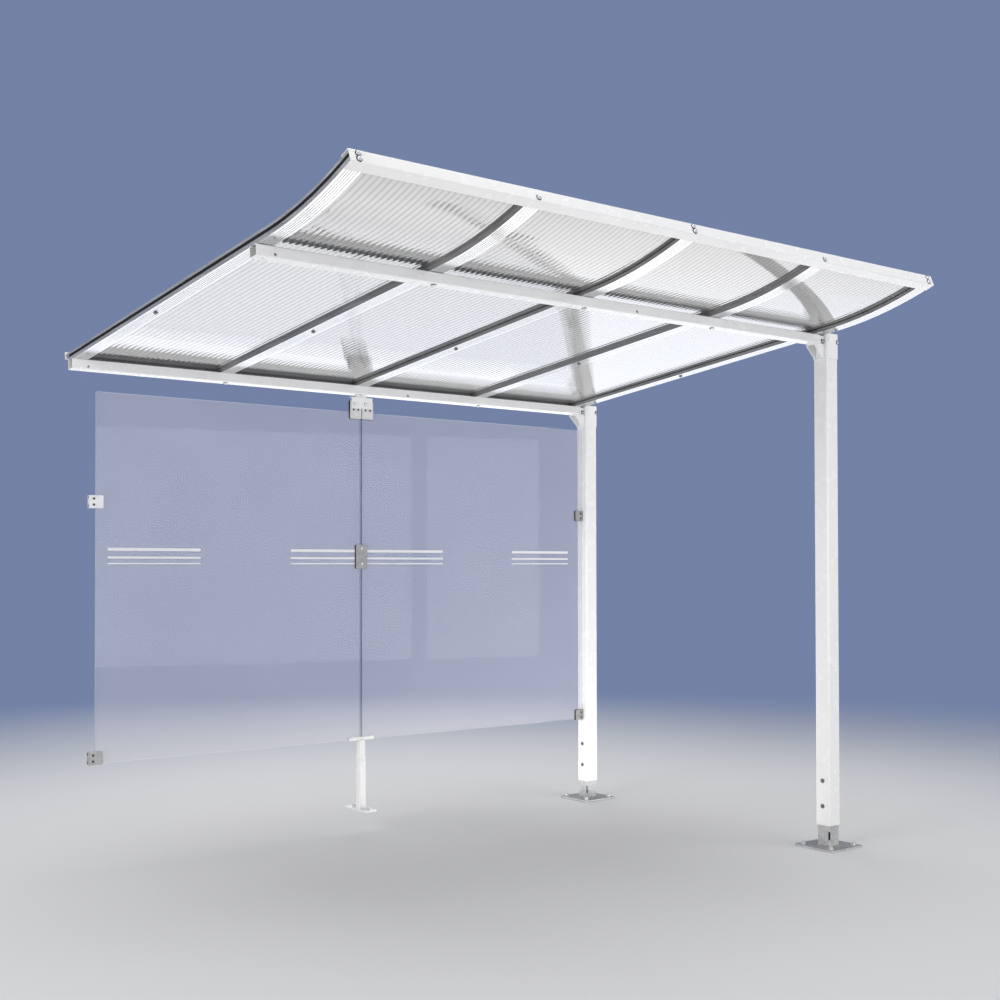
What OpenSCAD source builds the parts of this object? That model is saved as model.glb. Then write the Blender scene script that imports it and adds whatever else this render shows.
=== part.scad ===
// Bicycle shelter, extension bay: two posts at one end, curved clear roof, glazed back.
// X runs along the purlins toward the post end, Y from the open front to the glazed back, Z up.
// The origin is the middle of the front base plate's underside.

/* [Bay] */
// Distance from the front post to the rear post, centre to centre
post_pitch = 1720; // [1300:5:2200]
// Length of the two purlins
purlin_len = 2962; // [2000:1:4000]
// Finished floor level above the base plates' underside
floor_z = 105; // [60:1:200]

/* [Posts] */
// Outside size of the square posts
post_w = 80; // [60:1:120]
// Wall of the posts
post_t = 4; // [2:0.5:6]
// Rounding of the posts' outside corners
post_r = 8; // [5:0.5:14]
// Gap between a post and the stub tube inside it
stub_gap = 0.3; // [0.1:0.1:1]
// Height of the purlins' top edge over the front post's centre
roof_z = 2424; // [2000:1:2800]
// How far the posts run up above the purlins' top edge
post_over = 7; // [2:1:30]
// Height of the two bolt holes in each post above the floor
post_hole_z = 90; // [60:1:150]
// Distance between those two bolt holes
post_hole_gap = 120; // [60:1:200]
// Diameter of the bolt holes
bolt_hole_d = 13; // [6:0.5:20]

/* [Bases] */
// Side of the square base plates
base_w = 225; // [160:1:320]
// Thickness of the base plates
base_t = 10; // [6:1:20]
// Rounding of the base plates' corners
base_r = 10; // [2:1:30]
// Distance between anchor holes, both ways
anchor_pitch = 166; // [100:1:260]
// Diameter of the anchor holes
anchor_d = 14; // [8:1:22]
// Wall of the square stub tube that the post slides over
stub_t = 3; // [2:0.5:6]
// How far the stub tube runs up inside the post
stub_reach = 275; // [240:1:500]
// Width of the slot cut down the stub's corner
slot_w = 9; // [4:1:16]
// Length of that slot
slot_len = 38; // [20:1:80]

/* [Post heads] */
// Sheet thickness of the folded heads
head_t = 3; // [2:0.5:5]
// Height of the heads
head_h = 119; // [80:1:180]
// Gap between a head and its post
head_gap = 0.3; // [0.1:0.1:1]
// Width of the open seam at the head's front left corner
seam_w = 3; // [1:0.5:6]
// Length of that seam, from the top down
seam_h = 40; // [10:1:80]
// Reach of the bracket under the purlin
bracket_len = 68; // [40:1:120]
// Straight part of the bracket's front edge
bracket_lip = 10; // [4:1:30]
// Sheet thickness of the brackets
bracket_t = 3; // [2:0.5:5]
// Diameter of the bracket's bolt hole
bracket_hole_d = 11; // [6:0.5:16]
// How much of the tongue shows between a head and its purlin
tongue_show = 25; // [15:1:60]
// How far the tongue runs into the purlin
tongue_reach = 60; // [30:1:120]
// Gap between the tongue and the purlin round it
tongue_gap = 0.3; // [0.1:0.1:1]
// Wall of the tongue
tongue_t = 3; // [2:0.5:5]

/* [Purlins] */
// Depth of the purlins, front to back
purlin_w = 50; // [40:1:80]
// Height of the purlins
purlin_h = 42; // [30:1:80]
// Sheet thickness of the purlins
purlin_t = 2.5; // [1.5:0.5:5]
// Lips folded in at the top of the middle purlin
purlin_lip = 12; // [6:1:20]
// Bend radius of the purlins' outside corners
purlin_r = 4; // [3:0.5:8]
// Height of the gutter's rear wall above the purlins' top edge, up to its first bend
gutter_rise = 4.4; // [1:0.1:20]
// How far the gutter's lip stands out behind that wall
gutter_out = 38; // [25:1:80]
// Height of the gutter's lip above the purlins' top edge
gutter_top = 48; // [40:1:90]
// Distance from a purlin's free end to the bolt hole for the next bay's tongue
splice_x = 72; // [20:1:120]
// Distance from a purlin's free end to the spare hole
spare_x = 1768; // [1000:1:1900]
// Height of those holes below the purlins' top edge
side_hole_z = 30; // [15:1:34]
// Diameter of those holes
side_hole_d = 11; // [6:0.5:16]
// Diameter of the holes for the rafters' bolts
rafter_hole_d = 9; // [5:0.5:14]

/* [Roof] */
// How far the roof stops short of the purlins' free ends
roof_end = 4; // [0:1:60]
// Gap between the roof's right edge and the post heads
roof_gap = 2.7; // [1:0.1:30]
// Slope of the flat part of the roof, in degrees
roof_slope = 5.9; // [2:0.1:15]
// Where the roof starts to curve up, ahead of the front post
bend_y = 100; // [0:1:400]
// Radius of the curved front of the roof
bend_r = 2000; // [1000:10:4000]
// Slope of the roof at its front edge, in degrees
front_slope = 21.5; // [12:0.1:40]
// How far the sheets run on behind the rear post's centre
rear_over = 48; // [30:1:50]
// How far the caps run on behind the rear post's centre
cap_over = 58; // [30:1:60]
// Thickness of the multiwall sheets
sheet_t = 10; // [6:1:16]
// Thickness of the sheets' skins and of the ribs between them
sheet_skin = 1.2; // [0.8:0.1:2]
// Distance between the ribs
rib_pitch = 25; // [10:0.5:60]
// Gap between a sheet and the cap over it
sheet_gap = 0.3; // [0.1:0.1:1]
// Gap left where one bar lies on another
seat_gap = 0.1; // [0.05:0.05:0.5]

/* [Rafters] */
// Width of the rafters
rafter_w = 65; // [50:1:90]
// Height of the rafter bars under the sheets
rafter_h = 15; // [10:1:40]
// Distance from the middle rafter to the next ones
rafter_pitch = 749; // [500:1:1000]
// Wall of the rafter profile
rafter_t = 2; // [1.5:0.5:4]
// Width of the fine grooves under the rafters
groove_w = 2; // [1:0.5:4]
// Depth of those grooves
groove_d = 0.8; // [0.4:0.1:1.2]
// Distance between those grooves
groove_pitch = 10; // [5:0.5:15]
// Thickness of the black gasket under the sheets at a joint
gasket_t = 2.5; // [1.5:0.5:4]
// Width of the gasket's upright between two sheets
gasket_web = 6; // [3:0.5:12]
// Width of the gasket's upright along the roof's ends
gasket_edge = 9; // [4:0.5:16]
// Height of the caps over the joints
cap_h = 13; // [8:1:30]
// Wall of the caps
cap_t = 2; // [1.5:0.5:4]
// Rounding of the caps' upper corners
cap_r = 5; // [3:0.5:8]

/* [Front edge] */
// Sheet thickness of the front channel
fascia_t = 2; // [1.5:0.5:4]
// Length of the front channel's top and bottom flanges
fascia_leg = 45; // [30:1:80]
// Inside radius of the front channel's bends
fascia_r = 1; // [0.5:0.1:1.2]
// Gap between the front channel and the bars that end in it
fascia_gap = 0.4; // [0.3:0.1:1]
// Height of the lower screw holes above the front channel's lower edge
screw_z = 12; // [8:0.5:20]
// Distance from there to the second screw hole at a joint
screw_gap = 20; // [14:0.5:24]
// Diameter of the screw holes
screw_d = 8; // [4:0.5:12]

/* [Glazing] */
// Thickness of the glass
glass_t = 8; // [6:1:12]
// Height of the glass above the base plates' underside
glass_z = 460; // [250:1:800]
// Gap between the glass and the rear purlin over it
glass_drop = 89; // [60:1:200]
// Gap between the glass and the rear post
glass_gap = 22; // [8:1:60]
// How far the glass stops short of the rear purlin's free end
glass_end = 117; // [40:1:400]
// How far the joint between the panels lies from the roof's middle, toward the posts
joint_shift = 6; // [-200:1:200]
// Gap between the two panels
joint_gap = 8; // [4:1:20]
// Rounding of the glass corners
glass_r = 6; // [2:1:20]

/* [Clamps] */
// Width of a glass clamp
clamp_w = 66; // [40:1:90]
// Height of a glass clamp
clamp_h = 58; // [30:1:90]
// Thickness of a clamp's plates
clamp_t = 5; // [3:0.5:8]
// Rounding of a clamp's corners
clamp_r = 5; // [2:0.5:12]
// Gap between the glass and a clamp's plates
pad_gap = 0.4; // [0.1:0.1:1]
// Height of the tall clamp at the middle of the joint
mid_clamp_h = 120; // [60:1:200]
// Height of the tall clamp's middle above the glass's bottom edge
mid_clamp_z = 923; // [400:1:1400]
// Height of the upper side clamps' middle above the glass's bottom edge
side_clamp_z = 1163; // [600:1:1500]
// Distance between the two bolt holes in the free ends of the left clamps
clamp_hole_gap = 38; // [20:1:44]
// Diameter of those holes
clamp_hole_d = 8; // [4:0.5:9]
// Depth of those holes
clamp_hole_deep = 20; // [8:1:28]
// How far the top clamps reach up above the glass, behind the hanger
tang = 57; // [40:1:60]
// Width of the hanger that carries the glass joint
hanger_w = 122; // [100:1:200]
// Sheet thickness of the hanger
hanger_t = 3; // [2:0.5:6]
// How far the hanger's lower edge stays above the glass
hanger_low = 20; // [10:1:35]
// Height of the packing between the hanger and the purlin
packing_h = 12; // [6:1:20]

/* [Foot] */
// Outside size of the foot's lower tube
foot_w = 36; // [30:1:60]
// Rounding of that tube's corners
foot_r = 4; // [2.5:0.5:8]
// Diameter of the bolt hole near the top of that tube
foot_hole_d = 8; // [4:0.5:12]
// How far that hole lies below the tube's top
foot_hole_low = 21; // [8:1:60]
// Wall of the foot's tubes
foot_t = 2; // [1.5:0.5:4]
// Gap between the foot's two tubes
foot_gap = 0.3; // [0.1:0.1:1]
// How much of the upper tube shows between the lower one and the rail
foot_show = 79; // [20:1:120]
// Width of the foot's plate along the shelter
foot_plate_w = 65; // [50:1:120]
// Length of the foot's plate, front to back
foot_plate_l = 200; // [120:1:300]
// Thickness of the foot's plate
foot_plate_t = 6; // [4:1:12]
// Distance between the foot's anchor holes
foot_anchor_pitch = 134; // [80:1:240]
// Length of the rail under the glass joint
rail_len = 146; // [80:1:300]
// Height of the rail's sides
rail_h = 16; // [10:1:30]
// Thickness of the rail
rail_t = 4; // [2:0.5:5]

/* [Hidden] */
$fn = 96;
tilt = roof_slope;
stub_w = post_w - 2 * (post_t + stub_gap);
stub_len = floor_z - base_t + stub_reach;
// where the purlins' right ends meet the heads
head_w = post_w + 2 * (head_gap + head_t);
purlin_x1 = -head_w / 2 - tongue_show;
purlin_x0 = purlin_x1 - purlin_len;
roof_x1 = -head_w / 2 - roof_gap;
roof_x0 = purlin_x0 + roof_end;
roof_mid = (roof_x0 + roof_x1) / 2;
rafter_x = [roof_x0 + rafter_w / 2, roof_mid - rafter_pitch, roof_mid,
            roof_mid + rafter_pitch, roof_x1 - rafter_w / 2];
// heights over the purlins' top edge: gasket, sheet, cap and the top of the stack
gasket_z = rafter_h + 2 * seat_gap;
sheet_z = gasket_z + gasket_t + seat_gap;
cap_z = sheet_z + sheet_t + sheet_gap;
stack_h = cap_z + cap_h;
rear_z = roof_z - post_pitch * tan(tilt);
// turn of the gutter's two outer bends: the slope between them runs 24 out to 7 up
gutter_turn = acos(0.28);
// height of a purlin measured straight down, and the glass and its foot under the rear one
purlin_drop = purlin_h / cos(tilt);
joint_x = roof_mid + joint_shift;
glass_h = rear_z - purlin_drop - glass_drop - glass_z;
rail_z = glass_z - pad_gap - rail_t;
foot_len = rail_z - foot_show - floor_z - foot_plate_t;
// start of the curve, and the roof's front edge, in Y and Z
bend_z = roof_z + bend_y * tan(tilt);
front_y = -bend_y + bend_r * (sin(tilt) - sin(front_slope));
front_z = bend_z + bend_r * (cos(tilt) - cos(front_slope));

// ---- shapes used more than once ----

module rounded(w, d, r) {
    square([w - 2 * r, d], center = true);
    square([w, d - 2 * r], center = true);
    for (x = [-1, 1], y = [-1, 1]) translate([x * (w / 2 - r), y * (d / 2 - r)]) circle(r);
}

module ring(w, d, r, t) difference() {
    rounded(w, d, r);
    rounded(w - 2 * t, d - 2 * t, max(r - t, 0.5));
}

// the section of a folded sheet t thick, as steps of [straight run, turn], with r inside each bend;
// it runs along X with its left side as the sheet's thickness, and a positive turn goes left
module folded(t, r, steps, i = 0) {
    run = steps[i][0];
    turn = steps[i][1];
    square([run, t]);
    if (i + 1 < len(steps)) translate([run, turn > 0 ? t + r : -r]) {
        far = 2 * (r + t) / cos(turn / 2);
        rotate(turn > 0 ? 0 : 180) intersection() {
            difference() {
                circle(r + t);
                circle(r);
            }
            polygon([[0, 0], [0, -far], [far * sin(turn), -far * cos(turn)]]);
        }
        rotate(turn) translate([0, turn > 0 ? -t - r : r]) folded(t, r, steps, i + 1);
    }
}

// a section drawn as [along X, up from the purlins' top edge], carried along the roof's line:
// straight from `behind` past the rear post's centre to the bend, then round it to the front edge
module along_roof(behind) {
    run = (post_pitch + behind + bend_y) / cos(tilt);
    turn = front_slope - tilt;
    translate([0, -bend_y, bend_z]) rotate([-tilt, 0, 0]) {
        rotate([90, 0, 0]) translate([0, 0, -run]) linear_extrude(run) children();
        translate([0, 0, bend_r]) rotate([90, 0, 90])
            rotate_extrude(angle = turn, start = -90 - turn)
                translate([bend_r, 0]) rotate(90) children();
    }
}

// ---- bases and posts ----

module base_plate() {
    linear_extrude(base_t) difference() {
        rounded(base_w, base_w, base_r);
        for (x = [-1, 1], y = [-1, 1])
            translate([x * anchor_pitch / 2, y * anchor_pitch / 2]) circle(d = anchor_d);
    }
}

module stub_tube() {
    difference() {
        translate([0, 0, base_t]) linear_extrude(stub_len)
            ring(stub_w, stub_w, post_r - post_t + 1, stub_t);
        for (x = [-1, 1], y = [-1, 1])
            translate([x * stub_w / 2, y * stub_w / 2, base_t + 29 + slot_len / 2])
                rotate([0, 0, 45 * x * y]) cube([24, slot_w, slot_len], center = true);
        for (i = [0, 1]) translate([0, 0, floor_z + post_hole_z + i * post_hole_gap])
            rotate([0, 90, 0]) cylinder(d = bolt_hole_d, h = stub_w + 2, center = true);
    }
}

module post(top) {
    difference() {
        translate([0, 0, floor_z]) linear_extrude(top - floor_z) ring(post_w, post_w, post_r, post_t);
        for (i = [0, 1]) translate([0, 0, floor_z + post_hole_z + i * post_hole_gap])
            rotate([0, 90, 0]) cylinder(d = bolt_hole_d, h = post_w + 2, center = true);
    }
}

// the folded cap over a post's top, with the tongue that carries the purlin's end; z is the purlin's
module post_head(z) {
    top = z + post_over + head_gap + head_t;
    r = post_r + head_gap;
    w = purlin_w - 2 * (purlin_t + tongue_gap);
    h = purlin_h - 2 * (purlin_t + tongue_gap);
    difference() {
        translate([0, 0, top - head_h]) linear_extrude(head_h) rounded(head_w, head_w, r + head_t);
        translate([0, 0, top - head_h - 1]) linear_extrude(head_h - head_t + 1)
            rounded(head_w - 2 * head_t, head_w - 2 * head_t, r);
        // the open seam of the fold
        translate([-head_w / 2 + r + head_t, -head_w / 2 - 1, top - seam_h])
            cube([seam_w, head_t + 2, seam_h + 1]);
    }
    translate([-head_w / 2, 0, z]) rotate([-tilt, 0, 0]) difference() {
        translate([-tongue_show - tongue_reach, 0, -purlin_h / 2]) rotate([90, 0, 90])
            linear_extrude(tongue_show + tongue_reach + head_t / 2) ring(w, h, tongue_t, tongue_t);
        translate([-tongue_show * 0.45, 0, -side_hole_z])
            rotate([90, 0, 0]) cylinder(d = rafter_hole_d, h = purlin_w, center = true);
        translate([rafter_x[4] + head_w / 2, 0, 0])
            cylinder(d = rafter_hole_d, h = 3 * purlin_h, center = true);
    }
}

module bracket(z) {
    x0 = -head_w / 2 - bracket_len;
    x1 = -head_w / 2;
    under = z - purlin_drop;
    low = z + post_over + head_gap + head_t - head_h + 2;
    difference() {
        intersection() {
            translate([0, purlin_w / 2, 0]) rotate([90, 0, 0]) linear_extrude(purlin_w) polygon([
                [x0, z], [x0, under - bracket_lip], [x1 - 14, low + 4], [x1 - 6, low], [x1, low], [x1, z]]);
            translate([0, 0, under]) rotate([-tilt, 0, 0])
                translate([-2 * bracket_len - head_w, -purlin_w, -2 * head_h - seat_gap])
                    cube([2 * bracket_len + head_w, 2 * purlin_w, 2 * head_h]);
        }
        translate([x0 - 1, -purlin_w / 2 + bracket_t, 0]) intersection() {
            cube([bracket_len + 1 - bracket_t, purlin_w - 2 * bracket_t, under + purlin_h]);
            translate([0, purlin_w / 2 - bracket_t, under]) rotate([-tilt, 0, 0])
                translate([-1, -2 * purlin_w, -2 * head_h])
                    cube([2 * bracket_len, 4 * purlin_w, 2 * head_h - bracket_t]);
        }
        translate([rafter_x[4], 0, under]) rotate([-tilt, 0, 0])
            cylinder(d = bracket_hole_d, h = 30, center = true);
    }
}

module front_base_plate() color("silver") base_plate();
module front_stub_tube() color("silver") stub_tube();
module front_post() color("white") post(roof_z + post_over);
module front_post_head() color("white") post_head(roof_z);
module front_bracket() color("white") bracket(roof_z);
module rear_base_plate() color("silver") translate([0, post_pitch, 0]) base_plate();
module rear_stub_tube() color("silver") translate([0, post_pitch, 0]) stub_tube();
module rear_post() color("white") translate([0, post_pitch, 0]) post(rear_z + post_over);
module rear_post_head() color("white") translate([0, post_pitch, 0]) post_head(rear_z);
module rear_bracket() color("white") translate([0, post_pitch, 0]) bracket(rear_z);

// ---- purlins ----

// stands a section drawn as [front to back, up] along the purlins, tilted with the roof
module along_purlin(y, z) {
    translate([purlin_x0, y, z]) rotate([-tilt, 0, 0]) rotate([90, 0, 90])
        linear_extrude(purlin_len) children();
}

module purlin_holes(y, z) {
    translate([0, y, z]) rotate([-tilt, 0, 0]) {
        for (x = rafter_x)
            translate([x, 0, -purlin_h]) cylinder(d = rafter_hole_d, h = 4 * purlin_t, center = true);
        for (x = [purlin_x0 + splice_x, purlin_x0 + spare_x])
            translate([x, -purlin_w / 2, -side_hole_z])
                rotate([90, 0, 0]) cylinder(d = side_hole_d, h = 4 * purlin_t, center = true);
    }
}

module middle_purlin() color("white") difference() {
    along_purlin(0, roof_z) difference() {
        translate([0, -purlin_h / 2]) ring(purlin_w, purlin_h, purlin_r, purlin_t);
        translate([-purlin_w / 2 + purlin_lip, -purlin_t - 1])
            square([purlin_w - 2 * purlin_lip, purlin_t + 2]);
    }
    purlin_holes(0, roof_z);
}

// the rear purlin is a channel whose rear wall goes on, through two bends, as the gutter's lip
module rear_gutter_purlin() color("white") difference() {
    r = purlin_r - purlin_t;
    bends = 2 * r + purlin_t;
    slant = (gutter_out - bends * (1 - cos(gutter_turn))) / sin(gutter_turn);
    lip = gutter_top - gutter_rise - slant * cos(gutter_turn) - bends * sin(gutter_turn);
    along_purlin(post_pitch, rear_z) translate([-purlin_w / 2, 0]) rotate(-90) folded(purlin_t, r, [
        [purlin_h - purlin_r, 90], [purlin_w - 2 * purlin_r, 90], [purlin_h - purlin_r + gutter_rise, -gutter_turn],
        [slant, gutter_turn], [lip, 0]]);
    purlin_holes(post_pitch, rear_z);
}

// ---- roof ----

// the bar under the sheets: hollow, with fine grooves along its underside and one along each side
module rafter_section(h) {
    difference() {
        translate([-rafter_w / 2, 0]) square([rafter_w, h]);
        translate([-rafter_w / 2 + rafter_t, rafter_t]) square([rafter_w - 2 * rafter_t, h - 2 * rafter_t]);
        for (i = [-2:2]) translate([i * groove_pitch - groove_w / 2, -1]) square([groove_w, groove_d + 1]);
        for (s = [-1, 1]) translate([s * rafter_w / 2, rafter_h / 2]) square(2 * groove_d, center = true);
    }
    translate([-rafter_t / 2, rafter_t / 2]) square([rafter_t, h - rafter_t]);
}

module rafter(i, h) along_roof(purlin_w / 2 - purlin_t - 1)
    translate([rafter_x[i], seat_gap]) rafter_section(h);

// the black gasket a joint's sheets lie on, with its upright from `x` on, `w` wide
module gasket(i, x, w) along_roof(purlin_w / 2 - purlin_t - 1) translate([rafter_x[i], gasket_z]) {
    translate([-rafter_w / 2, 0]) square([rafter_w, gasket_t]);
    translate([x, 0]) square([w, cap_z - gasket_z - seat_gap]);
}

module cap_section() difference() {
    union() {
        translate([-rafter_w / 2, 0]) square([rafter_w, cap_h - cap_r]);
        translate([-rafter_w / 2 + cap_r, 0]) square([rafter_w - 2 * cap_r, cap_h]);
        for (s = [-1, 1]) translate([s * (rafter_w / 2 - cap_r), cap_h - cap_r]) circle(cap_r);
    }
    translate([-rafter_w / 2 + cap_t, cap_t]) square([rafter_w - 2 * cap_t, cap_h - cap_r - cap_t]);
    translate([-rafter_w / 2 + cap_r, cap_t]) square([rafter_w - 2 * cap_r, cap_h - 2 * cap_t]);
}

module cap(i) along_roof(cap_over) translate([rafter_x[i], cap_z]) cap_section();

module left_edge_rafter() color("white") rafter(0, rafter_h);
module left_middle_rafter() color("white") rafter(1, sheet_z - 2 * seat_gap);
module centre_joint_rafter() color("white") rafter(2, rafter_h);
module right_middle_rafter() color("white") rafter(3, sheet_z - 2 * seat_gap);
module right_edge_rafter() color("white") rafter(4, rafter_h);
module left_edge_gasket() color("black") gasket(0, -rafter_w / 2, gasket_edge);
module centre_joint_gasket() color("black") gasket(2, -gasket_web / 2, gasket_web);
module right_edge_gasket() color("black") gasket(4, rafter_w / 2 - gasket_edge, gasket_edge);
module left_edge_cap() color("white") cap(0);
module centre_joint_cap() color("white") cap(2);
module right_edge_cap() color("white") cap(4);

// two skins with ribs between them, and a closed edge at each side
module multiwall(w) difference() {
    cells = floor((w - 2 * sheet_skin) / rib_pitch);
    square([w, sheet_t]);
    for (i = [0:cells - 1])
        translate([(w - cells * rib_pitch + sheet_skin) / 2 + i * rib_pitch, sheet_skin])
            square([rib_pitch - sheet_skin, sheet_t - 2 * sheet_skin]);
}

module roof_sheet(x0, x1) along_roof(rear_over) translate([x0, sheet_z]) multiwall(x1 - x0);

module left_roof_sheet() color("azure", 0.6)
    roof_sheet(roof_x0 + gasket_edge + 2, roof_mid - gasket_web / 2 - 2);
module right_roof_sheet() color("azure", 0.6)
    roof_sheet(roof_mid + gasket_web / 2 + 2, roof_x1 - gasket_edge - 2);

// a channel over the roof's front edge, screwed into the rafters and, at the joints, the caps
module front_fascia() color("white") {
    // the bars curve away from the channel's straight flanges by this much
    sag = fascia_leg * fascia_leg / bend_r / 2;
    face = stack_h + 2 * fascia_gap + sag + 2 * fascia_t;
    bend = fascia_r + fascia_t;
    translate([0, front_y, front_z]) rotate([-front_slope, 0, 0]) difference() {
        translate([roof_x0, 0, 0]) rotate([90, 0, 90]) linear_extrude(roof_x1 - roof_x0)
            translate([fascia_leg - fascia_gap - fascia_t, face - fascia_t - fascia_gap]) rotate(180)
                folded(fascia_t, fascia_r, [
                    [fascia_leg - bend, 90], [face - 2 * bend, 90], [fascia_leg - bend, 0]]);
        for (i = [0:4], k = i % 2 == 0 ? [0, 1] : [0])
            translate([rafter_x[i], 0, screw_z + k * screw_gap - fascia_t])
                rotate([90, 0, 0]) cylinder(d = screw_d, h = 8, center = true);
    }
}

// ---- glazing ----

module glass(x0, x1) translate([(x0 + x1) / 2, post_pitch, glass_z + glass_h / 2])
    rotate([90, 0, 0]) linear_extrude(glass_t, center = true) rounded(x1 - x0, glass_h, glass_r);

glass_x0 = purlin_x0 + glass_end;
glass_x1 = -post_w / 2 - glass_gap;
module left_glass() color("lightblue", 0.5) glass(glass_x0, joint_x - joint_gap / 2);
module right_glass() color("lightblue", 0.5) glass(joint_x + joint_gap / 2, glass_x1);

// a clamp's body from x0 to x1 and z0 to z1, and the slot in it for the glass and its pads
clamp_d = glass_t + 2 * (pad_gap + clamp_t);
module clamp_block(x0, x1, z0, z1) translate([(x0 + x1) / 2, post_pitch, (z0 + z1) / 2])
    rotate([90, 0, 0]) linear_extrude(clamp_d, center = true) rounded(x1 - x0, z1 - z0, clamp_r);
module glass_room(x0, x1, z0, z1) translate([x0, post_pitch - glass_t / 2 - pad_gap, z0])
    cube([x1 - x0, glass_t + 2 * pad_gap, z1 - z0]);

module left_clamp(z) difference() {
    x = glass_x0 - clamp_w / 2;
    clamp_block(x, x + clamp_w, z - clamp_h / 2, z + clamp_h / 2);
    glass_room(glass_x0 - pad_gap, x + clamp_w + 1, z - clamp_h, z + clamp_h);
    for (s = [-1, 1]) translate([x - 1, post_pitch, z + s * clamp_hole_gap / 2])
        rotate([0, 90, 0]) cylinder(d = clamp_hole_d, h = clamp_hole_deep + 1);
}
module post_clamp(z) difference() {
    x = glass_x1 - clamp_w / 2;
    clamp_block(x, -post_w / 2, z - clamp_h / 2, z + clamp_h / 2);
    glass_room(x - 1, glass_x1 + pad_gap, z - clamp_h, z + clamp_h);
}
module top_clamp(s) difference() {
    x = joint_x + s * (joint_gap / 4 + clamp_w / 2);
    top = glass_z + glass_h;
    clamp_block(x - clamp_w / 2, x + clamp_w / 2, top - clamp_h / 2 - 4, top + tang);
    glass_room(x - clamp_w, x + clamp_w, top - clamp_h, top + pad_gap);
}

module left_upper_clamp() color("gray") left_clamp(glass_z + side_clamp_z);
module left_lower_clamp() color("gray") left_clamp(glass_z + clamp_h / 2 - 5);
module post_upper_clamp() color("gray") post_clamp(glass_z + side_clamp_z);
module post_lower_clamp() color("gray") post_clamp(glass_z + clamp_h / 2 - 5);
module left_top_clamp() color("gray") top_clamp(-1);
module right_top_clamp() color("gray") top_clamp(1);
module middle_clamp() color("gray") difference() {
    z = glass_z + mid_clamp_z;
    clamp_block(joint_x - clamp_w / 2, joint_x + clamp_w / 2, z - mid_clamp_h / 2, z + mid_clamp_h / 2);
    glass_room(joint_x - clamp_w, joint_x - joint_gap / 2 + pad_gap, z - mid_clamp_h, z + mid_clamp_h);
    glass_room(joint_x + joint_gap / 2 - pad_gap, joint_x + clamp_w, z - mid_clamp_h, z + mid_clamp_h);
}

// the plate in front of the top clamps, folded back under a packing that is bolted to the purlin
module glass_hanger() color("white") {
    r = 1;
    under = rear_z - purlin_drop;
    low = glass_z + glass_h + hanger_low;
    back = post_pitch + clamp_d / 2;
    translate([joint_x - hanger_w / 2, back, under - packing_h]) rotate([90, 0, 90])
        linear_extrude(hanger_w) rotate(180) folded(hanger_t, r, [
            [clamp_d + seat_gap - r, 90], [under - packing_h - low - r - hanger_t, 0]]);
    intersection() {
        translate([joint_x - hanger_w / 4, back - clamp_d + 2, under - packing_h - hanger_t / 2])
            cube([hanger_w / 2, clamp_d - 2, packing_h + purlin_w]);
        translate([joint_x, post_pitch, under]) rotate([-tilt, 0, 0])
            translate([-hanger_w, -purlin_w, -2 * purlin_w - seat_gap])
                cube([2 * hanger_w, 2 * purlin_w, 2 * purlin_w]);
    }
}

// ---- foot ----

module foot_tube(w, r, z0, z1) translate([joint_x, post_pitch, z0])
    linear_extrude(z1 - z0) ring(w, w, r, foot_t);

module foot_plate() color("white") translate([joint_x, post_pitch, floor_z])
    linear_extrude(foot_plate_t) difference() {
        rounded(foot_plate_w, foot_plate_l, 6);
        for (s = [-1, 1]) translate([0, s * foot_anchor_pitch / 2]) circle(d = 11);
    }
module foot_lower_tube() color("white") difference() {
    foot_tube(foot_w, foot_r, floor_z + foot_plate_t, floor_z + foot_plate_t + foot_len);
    translate([joint_x, post_pitch, floor_z + foot_plate_t + foot_len - foot_hole_low])
        rotate([90, 0, 0]) cylinder(d = foot_hole_d, h = foot_w);
}
module foot_upper_tube() color("white") foot_tube(foot_w - 2 * (foot_t + foot_gap),
    foot_r - foot_t, floor_z + foot_plate_t + foot_len / 2, rail_z);

// the channel that the glass stands in, with a slot low on its front and a bolt hole at its left end
module glass_rail() color("white") difference() {
    w = glass_t + 2 * (pad_gap + rail_t);
    translate([joint_x - rail_len / 2, post_pitch - w / 2, rail_z]) cube([rail_len, w, rail_h]);
    translate([joint_x - rail_len, post_pitch - w / 2 + rail_t, glass_z - pad_gap])
        cube([2 * rail_len, w - 2 * rail_t, rail_h]);
    translate([joint_x - rail_len / 2 + 7, post_pitch, rail_z + rail_h - 5])
        rotate([90, 0, 0]) cylinder(d = 5, h = w);
}

front_base_plate();
front_stub_tube();
front_post();
front_post_head();
front_bracket();
rear_base_plate();
rear_stub_tube();
rear_post();
rear_post_head();
rear_bracket();
middle_purlin();
rear_gutter_purlin();
left_edge_rafter();
left_middle_rafter();
centre_joint_rafter();
right_middle_rafter();
right_edge_rafter();
left_edge_gasket();
centre_joint_gasket();
right_edge_gasket();
left_edge_cap();
centre_joint_cap();
right_edge_cap();
left_roof_sheet();
right_roof_sheet();
front_fascia();
left_glass();
right_glass();
glass_hanger();
left_top_clamp();
right_top_clamp();
middle_clamp();
left_upper_clamp();
left_lower_clamp();
post_upper_clamp();
post_lower_clamp();
foot_plate();
foot_lower_tube();
foot_upper_tube();
glass_rail();
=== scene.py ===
import math

import bmesh
import bpy
from mathutils import Matrix, Vector, noise


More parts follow.
